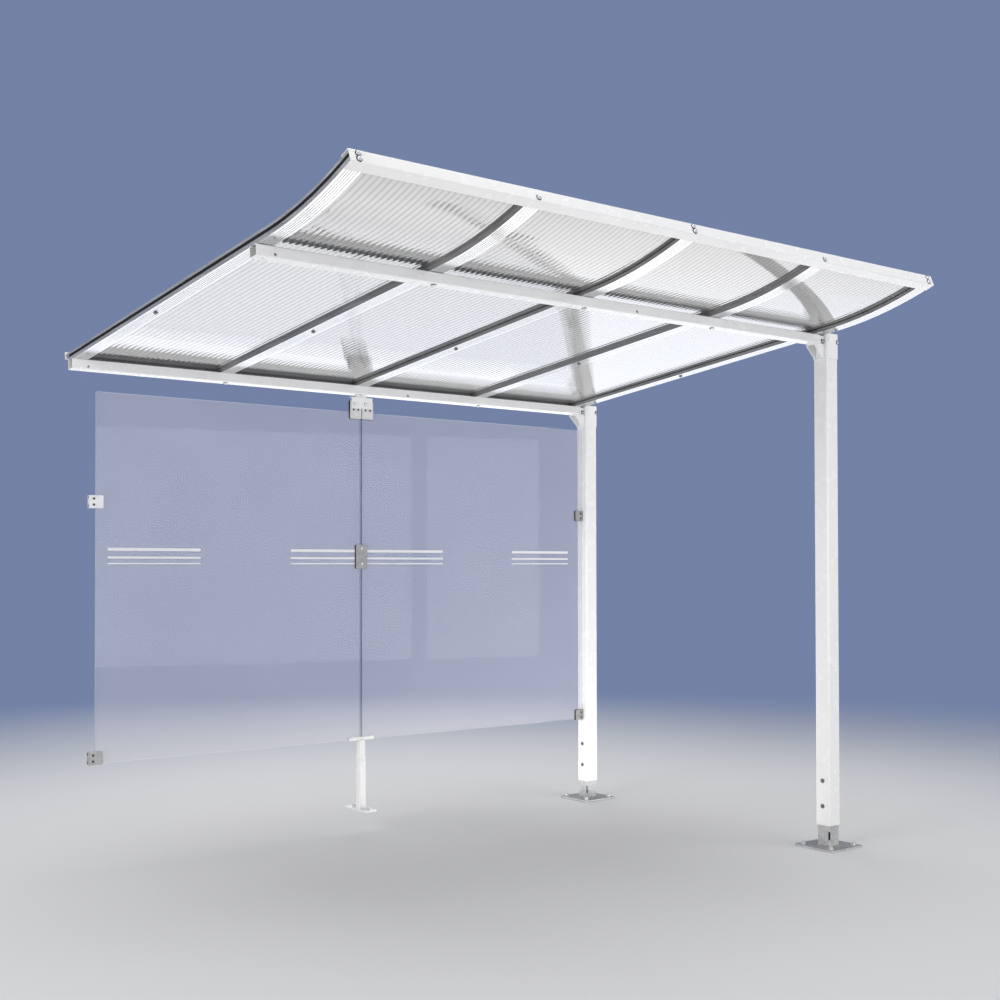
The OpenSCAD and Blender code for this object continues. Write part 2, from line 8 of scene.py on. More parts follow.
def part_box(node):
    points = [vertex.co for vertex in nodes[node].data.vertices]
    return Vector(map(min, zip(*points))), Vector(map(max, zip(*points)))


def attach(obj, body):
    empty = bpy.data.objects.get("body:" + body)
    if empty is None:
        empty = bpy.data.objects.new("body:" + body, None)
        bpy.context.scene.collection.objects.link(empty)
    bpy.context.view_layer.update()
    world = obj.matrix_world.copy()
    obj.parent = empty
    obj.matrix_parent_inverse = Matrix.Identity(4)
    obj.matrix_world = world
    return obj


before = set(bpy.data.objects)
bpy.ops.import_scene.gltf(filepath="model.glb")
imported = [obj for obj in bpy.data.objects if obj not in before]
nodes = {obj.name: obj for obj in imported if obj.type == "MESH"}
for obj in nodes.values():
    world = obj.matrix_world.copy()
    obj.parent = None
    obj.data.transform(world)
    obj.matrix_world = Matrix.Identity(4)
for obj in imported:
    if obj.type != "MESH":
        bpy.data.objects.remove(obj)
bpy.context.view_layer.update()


# Camera. It stands outside the open corner, to the left of the bay and a little over
# 1.3 m up, and looks across the bay at the posts.

CAMERA_AT = (-5.158, -4.117, 1.325)

camera_data = bpy.data.cameras.new("camera")
camera_data.lens = 48.46
camera_data.shift_y = 0.0463
camera = bpy.data.objects.new("camera", camera_data)
bpy.context.scene.collection.objects.link(camera)
heading, rise, roll = (math.radians(angle) for angle in (52.236, 0.921, -0.1))
flat = math.cos(rise)
ahead = Vector((math.cos(heading) * flat, math.sin(heading) * flat, math.sin(rise)))
level = ahead.cross((0, 0, 1)).normalized()
upright = level.cross(ahead)
right = level * math.cos(roll) + upright * math.sin(roll)
camera.matrix_world = Matrix.Translation(CAMERA_AT) @ Matrix(
    (right, right.cross(ahead), -ahead)).transposed().to_4x4()
bpy.context.scene.camera = camera
bpy.context.scene.view_settings.view_transform = "Standard"


# Studio. A wide pale floor that fades into the same slate blue all round. Soft lamps stand
# round the bay and over it, and a wide one lies on the floor and lights the roof from below.

SURROUND = (0.17, 0.222, 0.375, 1)
FLOOR_CENTRE = (-1.5, 0.8, 0)
FADE_FROM = 1.5
FADE_TO = 9.0

world = bpy.data.worlds.new("surround")
bpy.context.scene.world = world
world.use_nodes = True
tree = world.node_tree
tree.nodes.clear()
seen = tree.nodes.new("ShaderNodeBackground")
seen.inputs["Color"].default_value = SURROUND
lighting = tree.nodes.new("ShaderNodeBackground")
lighting.inputs["Color"].default_value = (1.0, 0.99, 0.98, 1)
lighting.inputs["Strength"].default_value = 0.3


def seen_ray(tree):
    """Gives 1 for rays that show the surroundings: the camera's, and those in glass and gloss."""
    path = tree.nodes.new("ShaderNodeLightPath")
    total = path.outputs["Is Camera Ray"]
    for kind in ("Is Glossy Ray", "Is Transmission Ray"):
        either = tree.nodes.new("ShaderNodeMath")
        either.operation = "MAXIMUM"
        tree.links.new(total, either.inputs[0])
        tree.links.new(path.outputs[kind], either.inputs[1])
        total = either.outputs[0]
    return total


def mixed(tree, share, first, second):
    """Mixes two shaders, with `share` of the second: a plain number or a pattern."""
    mix = tree.nodes.new("ShaderNodeMixShader")
    if isinstance(share, float):
        mix.inputs[0].default_value = share
    else:
        tree.links.new(share, mix.inputs[0])
    tree.links.new(first.outputs[0], mix.inputs[1])
    tree.links.new(second.outputs[0], mix.inputs[2])
    return mix


pick = mixed(tree, seen_ray(tree), lighting, seen)
tree.links.new(pick.outputs[0], tree.nodes.new("ShaderNodeOutputWorld").inputs["Surface"])

floor_mesh = bmesh.new()
bmesh.ops.create_circle(floor_mesh, cap_ends=True, segments=96, radius=60,
                        matrix=Matrix.Translation(FLOOR_CENTRE))
floor_data = bpy.data.meshes.new("floor")
floor_mesh.to_mesh(floor_data)
floor_mesh.free()
studio_floor = bpy.data.objects.new("studio_floor", floor_data)
bpy.context.scene.collection.objects.link(studio_floor)
floor_finish = bpy.data.materials.new("studio_floor")
floor_finish.use_nodes = True
tree = floor_finish.node_tree
matt = tree.nodes["Principled BSDF"]
matt.inputs["Base Color"].default_value = (0.72, 0.725, 0.735, 1)
matt.inputs["Roughness"].default_value = 0.9
matt.inputs["Specular IOR Level"].default_value = 0.1
glow = tree.nodes.new("ShaderNodeEmission")
glow.inputs["Color"].default_value = SURROUND
coords = tree.nodes.new("ShaderNodeTexCoord")
centred = tree.nodes.new("ShaderNodeVectorMath")
centred.operation = "DISTANCE"
centred.inputs[1].default_value = FLOOR_CENTRE
tree.links.new(coords.outputs["Object"], centred.inputs[0])
fade = tree.nodes.new("ShaderNodeMapRange")
fade.interpolation_type = "SMOOTHSTEP"
fade.inputs["From Min"].default_value = FADE_FROM
fade.inputs["From Max"].default_value = FADE_TO
tree.links.new(centred.outputs["Value"], fade.inputs["Value"])
far = tree.nodes.new("ShaderNodeMath")
far.operation = "MULTIPLY"
tree.links.new(fade.outputs[0], far.inputs[0])
tree.links.new(seen_ray(tree), far.inputs[1])
blend = mixed(tree, far.outputs[0], matt, glow)
tree.links.new(blend.outputs[0], tree.nodes["Material Output"].inputs["Surface"])
floor_data.materials.append(floor_finish)

for name, place, target, size, power in (
    ("front_lamp", (2.0, -8.5, 1.6), (-1.0, 0.6, 1.6), (10.0, 3.0), 395),
    ("top_front_lamp", (0.5, -4.8, 7.2), (-1.5, 0, 2.2), (7.0, 5.0), 85),
    ("left_lamp", (-12.0, -1.0, 3.0), (-0.5, 0.5, 1.4), (5.0, 5.0), 700),
    ("back_left_lamp", (-7.5, 8.0, 4.2), (-1.0, 0.8, 1.8), (8.0, 8.0), 40),
    ("overhead_lamp", (-1.5, 0.6, 6.5), (-1.5, 0.8, 0), (6.0, 6.0), 230),
    ("back_lamp", (1.5, 7.5, 3.0), (-1.5, 1.0, 1.5), (5.0, 5.0), 110),
    ("floor_lamp", (4.5, 6.15, 0.002), (4.5, 6.15, 1.0), (12.0, 11.7), 620),
):
    lamp = bpy.data.lights.new(name, "AREA")
    lamp.shape = "RECTANGLE"
    lamp.size, lamp.size_y = size
    lamp.energy = power
    holder = bpy.data.objects.new(name, lamp)
    holder.location = place
    holder.rotation_euler = (Vector(target) - Vector(place)).to_track_quat("-Z", "Y").to_euler()
    holder.visible_camera = False
    holder.visible_transmission = False
    bpy.context.scene.collection.objects.link(holder)


# Base plates and stub tubes. Each post stands on a square galvanised plate with a welded stub
# tube, held down by four anchors, each with a washer and a nut.


def start_finish(name):
    """Gives a new material with its node tree, main shader and Object coordinates."""
    finish = bpy.data.materials.new(name)
    finish.use_nodes = True
    tree = finish.node_tree
    coords = tree.nodes.new("ShaderNodeTexCoord").outputs["Object"]
    return finish, tree, tree.nodes["Principled BSDF"], coords


def mottle(tree, coords, scale, detail=3, stretch=(1, 1, 1)):
    """Gives a cloudy pattern from 0 to 1, with `scale` clouds a metre, drawn out along an axis."""
    spread = tree.nodes.new("ShaderNodeMapping")
    spread.inputs["Scale"].default_value = stretch
    tree.links.new(coords, spread.inputs["Vector"])
    clouds = tree.nodes.new("ShaderNodeTexNoise")
    clouds.inputs["Scale"].default_value = scale
    clouds.inputs["Detail"].default_value = detail
    tree.links.new(spread.outputs[0], clouds.inputs["Vector"])
    return clouds.outputs["Fac"]


def range_of(tree, value, low, high, from_low=0.3, from_high=0.7):
    """Turns a pattern into numbers from `low` to `high`."""
    scaled = tree.nodes.new("ShaderNodeMapRange")
    for socket, number in (("From Min", from_low), ("From Max", from_high),
                           ("To Min", low), ("To Max", high)):
        scaled.inputs[socket].default_value = number
    tree.links.new(value, scaled.inputs["Value"])
    return scaled.outputs[0]


def two_colours(tree, value, first, second):
    """Mixes two colours by a number from 0 to 1; either may be another mix."""
    mix = tree.nodes.new("ShaderNodeMix")
    mix.data_type = "RGBA"
    tree.links.new(value, mix.inputs["Factor"])
    for socket, colour in ((mix.inputs[6], first), (mix.inputs[7], second)):
        if isinstance(colour, tuple):
            socket.default_value = colour + (1,)
        else:
            tree.links.new(colour, socket)
    return mix.outputs[2]


def soft_edges(tree, radius):
    """Gives a normal that rounds sharp edges by a small radius."""
    eased = tree.nodes.new("ShaderNodeBevel")
    eased.samples = 4
    eased.inputs["Radius"].default_value = radius
    return eased.outputs[0]


def raise_surface(tree, shader, height, depth, normal=None):
    """Gives a shader the relief of a pattern, `depth` metres deep, and gives its normal."""
    relief = tree.nodes.new("ShaderNodeBump")
    relief.inputs["Distance"].default_value = depth
    tree.links.new(height, relief.inputs["Height"])
    if normal:
        tree.links.new(normal, relief.inputs["Normal"])
    tree.links.new(relief.outputs[0], shader.inputs["Normal"])
    return relief.outputs[0]


def dress(finish, *names):
    """Gives parts of the frame a finish."""
    for name in names:
        for slot in nodes[name].material_slots:
            slot.material = finish


def keep_piece(mesh, name, finish):
    """Turns finished mesh work into a piece of the shelter."""
    data = bpy.data.meshes.new(name)
    mesh.to_mesh(data)
    mesh.free()
    data.materials.append(finish)
    piece = bpy.data.objects.new(name, data)
    bpy.context.scene.collection.objects.link(piece)
    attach(piece, "root")


def facing_along(tree, axis):
    """Gives 0 to 1 for how squarely the surface faces along an axis of the shelter."""
    parts = tree.nodes.new("ShaderNodeSeparateXYZ")
    tree.links.new(tree.nodes["Texture Coordinate"].outputs["Normal"], parts.inputs[0])
    squarely = tree.nodes.new("ShaderNodeMath")
    squarely.operation = "ABSOLUTE"
    tree.links.new(parts.outputs[axis], squarely.inputs[0])
    return squarely.outputs[0]


galvanised, tree, shader, coords = start_finish("galvanised")
shader.inputs["Metallic"].default_value = 0.15
shader.inputs["Specular IOR Level"].default_value = 0.3
bent = tree.nodes.new("ShaderNodeVectorMath")
bent.operation = "MULTIPLY_ADD"
wander = tree.nodes.new("ShaderNodeTexNoise")
wander.inputs["Scale"].default_value = 90
tree.links.new(coords, wander.inputs["Vector"])
tree.links.new(wander.outputs["Color"], bent.inputs[0])
bent.inputs[1].default_value = (0.02, 0.02, 0.02)
tree.links.new(coords, bent.inputs[2])
spangle = tree.nodes.new("ShaderNodeTexVoronoi")
spangle.inputs["Scale"].default_value = 150
tree.links.new(bent.outputs[0], spangle.inputs["Vector"])
flake = tree.nodes.new("ShaderNodeSeparateColor")
tree.links.new(spangle.outputs["Color"], flake.inputs[0])
zinc = two_colours(tree, flake.outputs[0], (0.34, 0.342, 0.342), (0.60, 0.602, 0.602))
specks = range_of(tree, mottle(tree, coords, 330, 2), 0, 0.7, 0.45, 0.65)
zinc = two_colours(tree, specks, zinc, (0.24, 0.24, 0.24))
pale_patches = range_of(tree, mottle(tree, coords, 14, 4), 0, 0.5)
zinc = two_colours(tree, pale_patches, zinc, (0.60, 0.602, 0.602))
# Painted shade: faces that look upward take a darker zinc colour, so the plate tops render darker
# than the plate and stub sides.
painted_top_shade = two_colours(tree, flake.outputs[0], (0.16, 0.158, 0.155), (0.42, 0.416, 0.41))
top_shade_mask = range_of(tree, facing_along(tree, "Z"), 0, 0.75, 0.6, 0.9)
tree.links.new(two_colours(tree, top_shade_mask, zinc, painted_top_shade), shader.inputs["Base Color"])
tree.links.new(range_of(tree, flake.outputs[1], 0.45, 0.65, 0, 1), shader.inputs["Roughness"])
raise_surface(tree, shader, mottle(tree, coords, 220, 4), 0.0004, soft_edges(tree, 0.002))
dress(galvanised, "front_base_plate", "rear_base_plate", "front_stub_tube", "rear_stub_tube")


def fastener_metal(name, metallic, first, second, gloss, patches=260, grain=700):
    """Makes a fastener's metal, patchy between two colours, with roughness in a range."""
    finish, tree, shader, coords = start_finish(name)
    shader.inputs["Metallic"].default_value = metallic
    patchy = range_of(tree, mottle(tree, coords, patches, 4), 0, 1)
    tree.links.new(two_colours(tree, patchy, first, second), shader.inputs["Base Color"])
    rough = range_of(tree, mottle(tree, coords, grain, 3), *gloss)
    tree.links.new(rough, shader.inputs["Roughness"])
    raise_surface(tree, shader, mottle(tree, coords, 900, 3), 0.0001)
    return finish


zinc_plate = fastener_metal("zinc_plate", 0.6, (0.60, 0.60, 0.60), (0.74, 0.74, 0.735),
                            gloss=(0.25, 0.42), patches=180, grain=500)
bright_steel = fastener_metal("bright_steel", 1, (0.40, 0.405, 0.41), (0.55, 0.555, 0.56),
                              gloss=(0.12, 0.25))


def standing_on(at, out):
    """Gives the move that stands a fastener made at the origin on a face, pointing out of it."""
    turn = Vector((0, 0, 1)).rotation_difference(Vector(out))
    return Matrix.Translation(at) @ turn.to_matrix().to_4x4()


def place_copy(mesh, pattern, at, out):
    """Adds a copy of a fastener at a point, pointing out of a face."""
    known = len(mesh.verts)
    mesh.from_mesh(pattern)
    mesh.verts.ensure_lookup_table()
    bmesh.ops.transform(mesh, matrix=standing_on(at, out), verts=mesh.verts[known:])


def round_bar(mesh, radius, low, high, segments=28, ease=0):
    """Adds an upright round or many-sided bar with eased rims, and gives its top face."""
    middle = Matrix.Translation((0, 0, (low + high) / 2))
    made = bmesh.ops.create_cone(mesh, cap_ends=True, segments=segments, radius1=radius,
                                 radius2=radius, depth=high - low, matrix=middle)
    top = max((face for vert in made["verts"] for face in vert.link_faces),
              key=lambda face: face.calc_center_median().z)
    if ease:
        bmesh.ops.bevel(mesh, geom=list(top.edges), offset=ease, segments=3, profile=0.5,
                        affect="EDGES", material=-1)
        top = max(mesh.faces, key=lambda face: face.calc_center_median().z)
    return top


def as_pattern(mesh, name):
    """Keeps finished mesh work as a pattern to make copies of."""
    pattern = bpy.data.meshes.new(name)
    mesh.to_mesh(pattern)
    mesh.free()
    return pattern


def anchor(thread, nut_flats, washer, reach):
    """Makes an anchor's washer, nut and threaded end, standing up from the origin."""
    mesh = bmesh.new()
    washer_top = 0.0025
    nut_top = washer_top + thread * 0.75
    nut_corners = nut_flats / 2 / math.cos(math.radians(30))
    round_bar(mesh, washer / 2, 0, washer_top, ease=0.0004)
    round_bar(mesh, nut_corners, washer_top, nut_top, 6, 0.0007)
    rise = nut_top - 0.0005
    ring = bmesh.ops.create_circle(mesh, segments=20, radius=thread / 2,
                                   matrix=Matrix.Translation((0, 0, rise)))["verts"]
    loop = list({edge for vert in ring for edge in vert.link_edges})
    pitch = 0.00175
    root = 0.88
    for _ in range(round((reach - rise) / pitch)):
        for grow in (root, 1 / root):
            loop = [item for item in bmesh.ops.extrude_edge_only(mesh, edges=loop)["geom"]
                    if isinstance(item, bmesh.types.BMEdge)]
            moved = list({vert for edge in loop for vert in edge.verts})
            bmesh.ops.translate(mesh, verts=moved, vec=(0, 0, pitch / 2))
            bmesh.ops.scale(mesh, verts=moved, vec=(grow, grow, 1))
    bmesh.ops.edgeloop_fill(mesh, edges=loop)
    bmesh.ops.recalc_face_normals(mesh, faces=mesh.faces[:])
    return as_pattern(mesh, "anchor")


HALF_ANCHOR_PITCH = 0.083
post_anchor = anchor(thread=0.012, nut_flats=0.019, washer=0.028, reach=0.015)
ground_anchors = bmesh.new()
for plate in ("front_base_plate", "rear_base_plate"):
    low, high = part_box(plate)
    centre = (low + high) / 2
    for x in (-HALF_ANCHOR_PITCH, HALF_ANCHOR_PITCH):
        for y in (-HALF_ANCHOR_PITCH, HALF_ANCHOR_PITCH):
            place_copy(ground_anchors, post_anchor,
                       (centre.x + x, centre.y + y, high.z), (0, 0, 1))
keep_piece(ground_anchors, "base_anchors", zinc_plate)


LUMP_PITCH = 0.0035


def weld_bead(name, centre, half, corner, z, thick, finish):
    """Lays a lumpy weld round the foot of a square tube with rounded corners."""
    route = bpy.data.curves.new(name, "CURVE")
    route.dimensions = "3D"
    route.bevel_depth = thick
    route.bevel_resolution = 2
    points = []
    for side in range(4):
        turn = Matrix.Rotation(side * math.pi / 2, 3, "Z")
        straight = half - corner
        steps = max(4, round(straight * 2 / LUMP_PITCH))
        for step in range(steps):
            points.append(turn @ Vector((half, straight * (2 * step / steps - 1), 0)))
        for step in range(4):
            angle = step / 4 * math.pi / 2
            points.append(turn @ Vector((straight + corner * math.cos(angle),
                                         straight + corner * math.sin(angle), 0)))
    line = route.splines.new("POLY")
    line.points.add(len(points) - 1)
    line.use_cyclic_u = True
    for index, (point, spot) in enumerate(zip(line.points, points)):
        point.co = (centre.x + spot.x, centre.y + spot.y, z, 1)
        point.radius = 1 + 0.22 * noise.noise(Vector((index * 0.9, centre.y * 7, z * 5)))
    holder = bpy.data.objects.new(name, route)
    bpy.context.scene.collection.objects.link(holder)
    bpy.context.view_layer.update()
    depsgraph = bpy.context.evaluated_depsgraph_get()
    data = bpy.data.meshes.new_from_object(holder.evaluated_get(depsgraph))
    bpy.data.objects.remove(holder)
    mesh = bmesh.new()
    mesh.from_mesh(data)
    bmesh.ops.recalc_face_normals(mesh, faces=mesh.faces[:])
    for face in mesh.faces:
        face.smooth = True
    keep_piece(mesh, name, finish)


for end in ("front", "rear"):
    low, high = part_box(end + "_stub_tube")
    weld_bead(end + "_stub_weld", (low + high) / 2, half=(high.x - low.x) / 2, corner=0.005,
              z=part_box(end + "_base_plate")[1].z, thick=0.0035,
              finish=galvanised)


# Posts. Square steel tubes with rounded corners, powder coated satin white, which slide over
# the stubs and are held by two through bolts with domed heads.

post_white, tree, shader, coords = start_finish("post_white")
cloudy = range_of(tree, mottle(tree, coords, 2.5, 5), 0, 1)
tint = two_colours(tree, cloudy, (0.80, 0.80, 0.80), (0.785, 0.785, 0.788))
grime = range_of(tree, mottle(tree, coords, 35, 5), 0, 0.3, 0.5, 0.85)
tint = two_colours(tree, grime, tint, (0.7379, 0.7379, 0.74072))
tree.links.new(tint, shader.inputs["Base Color"])
tree.links.new(range_of(tree, mottle(tree, coords, 18, 4), 0.2, 0.3), shader.inputs["Roughness"])
orange_peel = mottle(tree, coords, 650, 2)
raise_surface(tree, shader, orange_peel, 0.00008, soft_edges(tree, 0.0015))
dress(post_white, "front_post", "rear_post")

WASHER = 0.0012


def domed_bolt(across, height, ring=0):
    """Makes a domed bolt head with a socket, on a washer `ring` wide, up from the origin."""
    mesh = bmesh.new()
    if ring:
        round_bar(mesh, ring / 2, 0, WASHER, ease=0.0003)
    top = round_bar(mesh, across / 2, WASHER, WASHER + height, ease=height * 0.8)
    wide = max(vert.co.xy.length for vert in top.verts)
    bmesh.ops.inset_individual(mesh, faces=[top], thickness=wide * 0.3, depth=0)
    top = max(mesh.faces, key=lambda face: (face.calc_center_median().z, -face.calc_area()))
    sunk = bmesh.ops.extrude_discrete_faces(mesh, faces=[top])["faces"]
    bmesh.ops.translate(mesh, verts=list(sunk[0].verts), vec=(0, 0, -height * 0.45))
    return as_pattern(mesh, "domed_bolt")


dull_steel = fastener_metal("dull_steel", 0.6, (0.14, 0.14, 0.142), (0.22, 0.22, 0.222),
                            gloss=(0.3, 0.5))

POST_HOLES = (0.090, 0.210)
post_bolt = domed_bolt(0.018, 0.007, 0.022)
through_bolts = bmesh.new()
for end in ("front", "rear"):
    low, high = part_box(end + "_post")
    for rise in POST_HOLES:
        for x, out in ((low.x, -1), (high.x, 1)):
            place_copy(through_bolts, post_bolt,
                       (x, (low.y + high.y) / 2, low.z + rise), (out, 0, 0))
keep_piece(through_bolts, "post_bolts", dull_steel)


# Post heads and brackets. Folded white steel caps on the posts, each with a tongue that the
# purlin slides onto and a bracket under it. One bolt holds the tongue and one the head, each
# on a rubber sealing washer.

dress(post_white, "front_post_head", "rear_post_head", "front_bracket", "rear_bracket")
PURLIN_TOP = 2.424
POST_PITCH = 1.72
ROOF_SLOPE = math.radians(5.9)
TILT = Matrix.Rotation(-ROOF_SLOPE, 3, "X")
PURLINS = {
    "front": Vector((0, 0, PURLIN_TOP)),
    "rear": Vector((0, POST_PITCH, PURLIN_TOP - POST_PITCH * math.tan(ROOF_SLOPE))),
}
forward = TILT @ Vector((0, -1, 0))
downward = TILT @ Vector((0, 0, -1))

rubber, tree, shader, coords = start_finish("rubber")
shader.inputs["Specular IOR Level"].default_value = 0.15
dust = range_of(tree, mottle(tree, coords, 9, 5, (1, 0.2, 1)), 0, 0.6)
tint = two_colours(tree, dust, (0.005, 0.005, 0.005), (0.015, 0.015, 0.015))
tree.links.new(tint, shader.inputs["Base Color"])
tree.links.new(range_of(tree, mottle(tree, coords, 60, 3), 0.55, 0.8), shader.inputs["Roughness"])
raise_surface(tree, shader, mottle(tree, coords, 800, 2), 0.0001)


def seal_ring(across):
    """Makes a flat sealing washer, lying at the origin."""
    mesh = bmesh.new()
    round_bar(mesh, across / 2, 0, 0.0014, ease=0.0004)
    return as_pattern(mesh, "seal_ring")


def place_sealed(bolts, seals, at, out):
    """Adds a domed bolt head to one mesh and its sealing washer to another."""
    place_copy(bolts, sealed_bolt, at, out)
    place_copy(seals, bolt_seal, at, out)


TONGUE_BOLT = (-0.05455, -0.0222, -0.030)
CORNER_BOLT_X = 0.0335
CORNER_BOLT_DROP = 0.027
sealed_bolt = domed_bolt(0.0165, 0.006)
bolt_seal = seal_ring(0.0215)
head_bolts = bmesh.new()
head_seals = bmesh.new()
for end, top in PURLINS.items():
    head_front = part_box(end + "_post_head")[0].y
    place_sealed(head_bolts, head_seals, top + TILT @ Vector(TONGUE_BOLT), forward)
    place_sealed(head_bolts, head_seals,
                 (CORNER_BOLT_X, head_front, top.z - CORNER_BOLT_DROP), (0, -1, 0))
keep_piece(head_bolts, "head_bolts", bright_steel)
keep_piece(head_seals, "head_seals", rubber)


# Purlins and gutter. Two folded white channels carry the roof; the rear one's back wall runs
# on as the gutter. Domed bolts come up through them into the rafters.

dress(post_white, "middle_purlin", "rear_gutter_purlin")
RAFTERS = ("left_edge_rafter", "left_middle_rafter", "centre_joint_rafter", "right_middle_rafter",
           "right_edge_rafter")
rafter_x = [(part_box(name)[0].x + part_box(name)[1].x) / 2 for name in RAFTERS]
PURLIN_UNDER = -0.042
BRACKET_UNDER = -0.0452
under_bolts = bmesh.new()
under_seals = bmesh.new()
for top in PURLINS.values():
    for x, under in zip(rafter_x[1:], (PURLIN_UNDER, PURLIN_UNDER, PURLIN_UNDER, BRACKET_UNDER)):
        place_sealed(under_bolts, under_seals, top + TILT @ Vector((x, 0, under)), downward)
keep_piece(under_bolts, "purlin_bolts", zinc_plate)
keep_piece(under_seals, "purlin_seals", rubber)


# Rafters and caps. Extruded aluminium bars, anodised to a satin shine, with fine lines along
# them from the die, and one bolt through each rafter between the purlins.


def anodised_finish(name, side):
    """Makes the bars' finish: bright undersides, and sides painted darker in the colour `side`,
    which is painted shade.
    """
    finish, tree, shader, coords = start_finish(name)
    lines = mottle(tree, coords, 110, 1, (1, 0.01, 0.01))
    cloudy = range_of(tree, mottle(tree, coords, 5, 2, (1, 0.2, 1)), 0, 1)
    tint = two_colours(tree, cloudy, (0.61, 0.61, 0.61), (0.64, 0.64, 0.64))
    tint = two_colours(tree, range_of(tree, lines, 0, 0.4), tint, (0.52, 0.52, 0.52))
    # Painted shade: faces that look sideways take the darker, less metallic `side` colour, streaked
    # at random, so the bars' sides render darker than their undersides.
    streaks = range_of(tree, mottle(tree, coords, 60, 3, (1, 0.02, 1)), 0, 1)
    painted_side_shade = two_colours(tree, streaks, side, tuple(part * 0.6 for part in side))
    side_shade_mask = range_of(tree, facing_along(tree, "X"), 0, 1, 0.7, 0.9)
    tree.links.new(two_colours(tree, side_shade_mask, tint, painted_side_shade), shader.inputs["Base Color"])
    tree.links.new(range_of(tree, side_shade_mask, 1, 0.3, 0, 1), shader.inputs["Metallic"])
    tree.links.new(range_of(tree, cloudy, 0.14, 0.2, 0, 1), shader.inputs["Roughness"])
    raise_surface(tree, shader, lines, 0.000004)
    return finish


# Both copies paint shade on the bars' sides; the left edge bars get their own, slightly darker
# painted side shade.
anodised = anodised_finish("anodised", (0.38, 0.38, 0.376))
anodised_edge = anodised_finish("anodised_edge", (0.36, 0.36, 0.358))
dress(anodised, *RAFTERS[1:], "centre_joint_cap", "right_edge_cap")
dress(anodised_edge, "left_edge_rafter", "left_edge_cap")
RAFTER_BOLT_Y = 0.886
SEAT_GAP = 0.0001
under_bolt = domed_bolt(0.016, 0.006, 0.020)
rafter_bolts = bmesh.new()
for x in rafter_x:
    along_slope = Vector((x, RAFTER_BOLT_Y / math.cos(ROOF_SLOPE), SEAT_GAP))
    place_copy(rafter_bolts, under_bolt, PURLINS["front"] + TILT @ along_slope, downward)
keep_piece(rafter_bolts, "rafter_bolts", dull_steel)


# Gaskets. Extruded black rubber, matt and faintly dusty. They lie on the rafters at the roof's
# ends and at the joint between the sheets, held down by the sheets and the caps.

dress(rubber, "left_edge_gasket", "centre_joint_gasket", "right_edge_gasket")


# Roof sheets. Clear multiwall plastic, glossy outside and milky from its many thin walls, with
# ribs every 25 mm down the slope. It bends cold over the curved front of the rafters.

RIB_PITCH = 0.025
SHEET_SKIN = 0.0012


def multiwall_finish(name):
    """Makes the finish of a sheet, with rib lines of painted shade where its own ribs are."""
    finish, tree, shader, coords = start_finish(name)
    low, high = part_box(name)
    cells = math.floor((high.x - low.x - 2 * SHEET_SKIN) / RIB_PITCH)
    first_rib = (low.x + high.x - cells * RIB_PITCH) / 2
    across = tree.nodes.new("ShaderNodeSeparateXYZ")
    tree.links.new(coords, across.inputs[0])
    shifted = tree.nodes.new("ShaderNodeMath")
    shifted.operation = "SUBTRACT"
    shifted.inputs[1].default_value = first_rib
    tree.links.new(across.outputs["X"], shifted.inputs[0])
    from_rib = tree.nodes.new("ShaderNodeMath")
    from_rib.operation = "PINGPONG"
    from_rib.inputs[1].default_value = RIB_PITCH / 2
    tree.links.new(shifted.outputs[0], from_rib.inputs[0])
    # Painted shade: over each rib the sheet's colour and its gloss colour are darker, drawing the
    # ribs as dark lines.
    rib_painted_shade = range_of(tree, from_rib.outputs[0], 1, 0, SHEET_SKIN, SHEET_SKIN * 5)
    milky = range_of(tree, mottle(tree, coords, 1.6, 4, (1, 0.3, 1)), 0, 1)
    tint = two_colours(tree, milky, (0.22, 0.222, 0.225), (0.26, 0.262, 0.265))
    tint = two_colours(tree, rib_painted_shade, tint, (0.13, 0.132, 0.135))
    tree.links.new(tint, shader.inputs["Base Color"])
    smooth = range_of(tree, mottle(tree, coords, 40, 3, (1, 0.1, 1)), 0.03, 0.09)
    tree.links.new(smooth, shader.inputs["Roughness"])
    shader.inputs["IOR"].default_value = 1.58
    hollow = range_of(tree, from_rib.outputs[0], 0, 1, 0, RIB_PITCH / 2)
    hollow.node.interpolation_type = "SMOOTHSTEP"
    relief = raise_surface(tree, shader, hollow, 0.0005)
    walls = tree.nodes.new("ShaderNodeBsdfGlossy")
    shine = two_colours(tree, rib_painted_shade, (0.95, 0.94, 0.925), (0.72, 0.712, 0.70))
    tree.links.new(shine, walls.inputs["Color"])
    walls.inputs["Roughness"].default_value = 0.05
    tree.links.new(relief, walls.inputs["Normal"])
    grazing = tree.nodes.new("ShaderNodeLayerWeight")
    grazing.inputs["Blend"].default_value = 0.5
    share = range_of(tree, grazing.outputs["Facing"], 0.32, 0.42, 0.5, 0.75)
    shining = mixed(tree, share, shader, walls)
    through = tree.nodes.new("ShaderNodeBsdfTransparent")
    through.inputs["Color"].default_value = (0.98, 0.985, 0.99, 1)
    soft_light = tree.nodes.new("ShaderNodeBsdfTranslucent")
    soft_light.inputs["Color"].default_value = (0.9, 0.92, 0.94, 1)
    inside = mixed(tree, 0.5, through, soft_light)
    share = range_of(tree, grazing.outputs["Facing"], 0.55, 0.95, 0, 0.8)
    skin = mixed(tree, share, inside, shining)
    tree.links.new(skin.outputs[0], tree.nodes["Material Output"].inputs["Surface"])
    dress(finish, name)


for name in ("left_roof_sheet", "right_roof_sheet"):
    multiwall_finish(name)


# Front channel. Folded white steel over the front ends of the bars and sheets, screwed into
# each rafter, with a second screw at the roof's ends and at its joint.

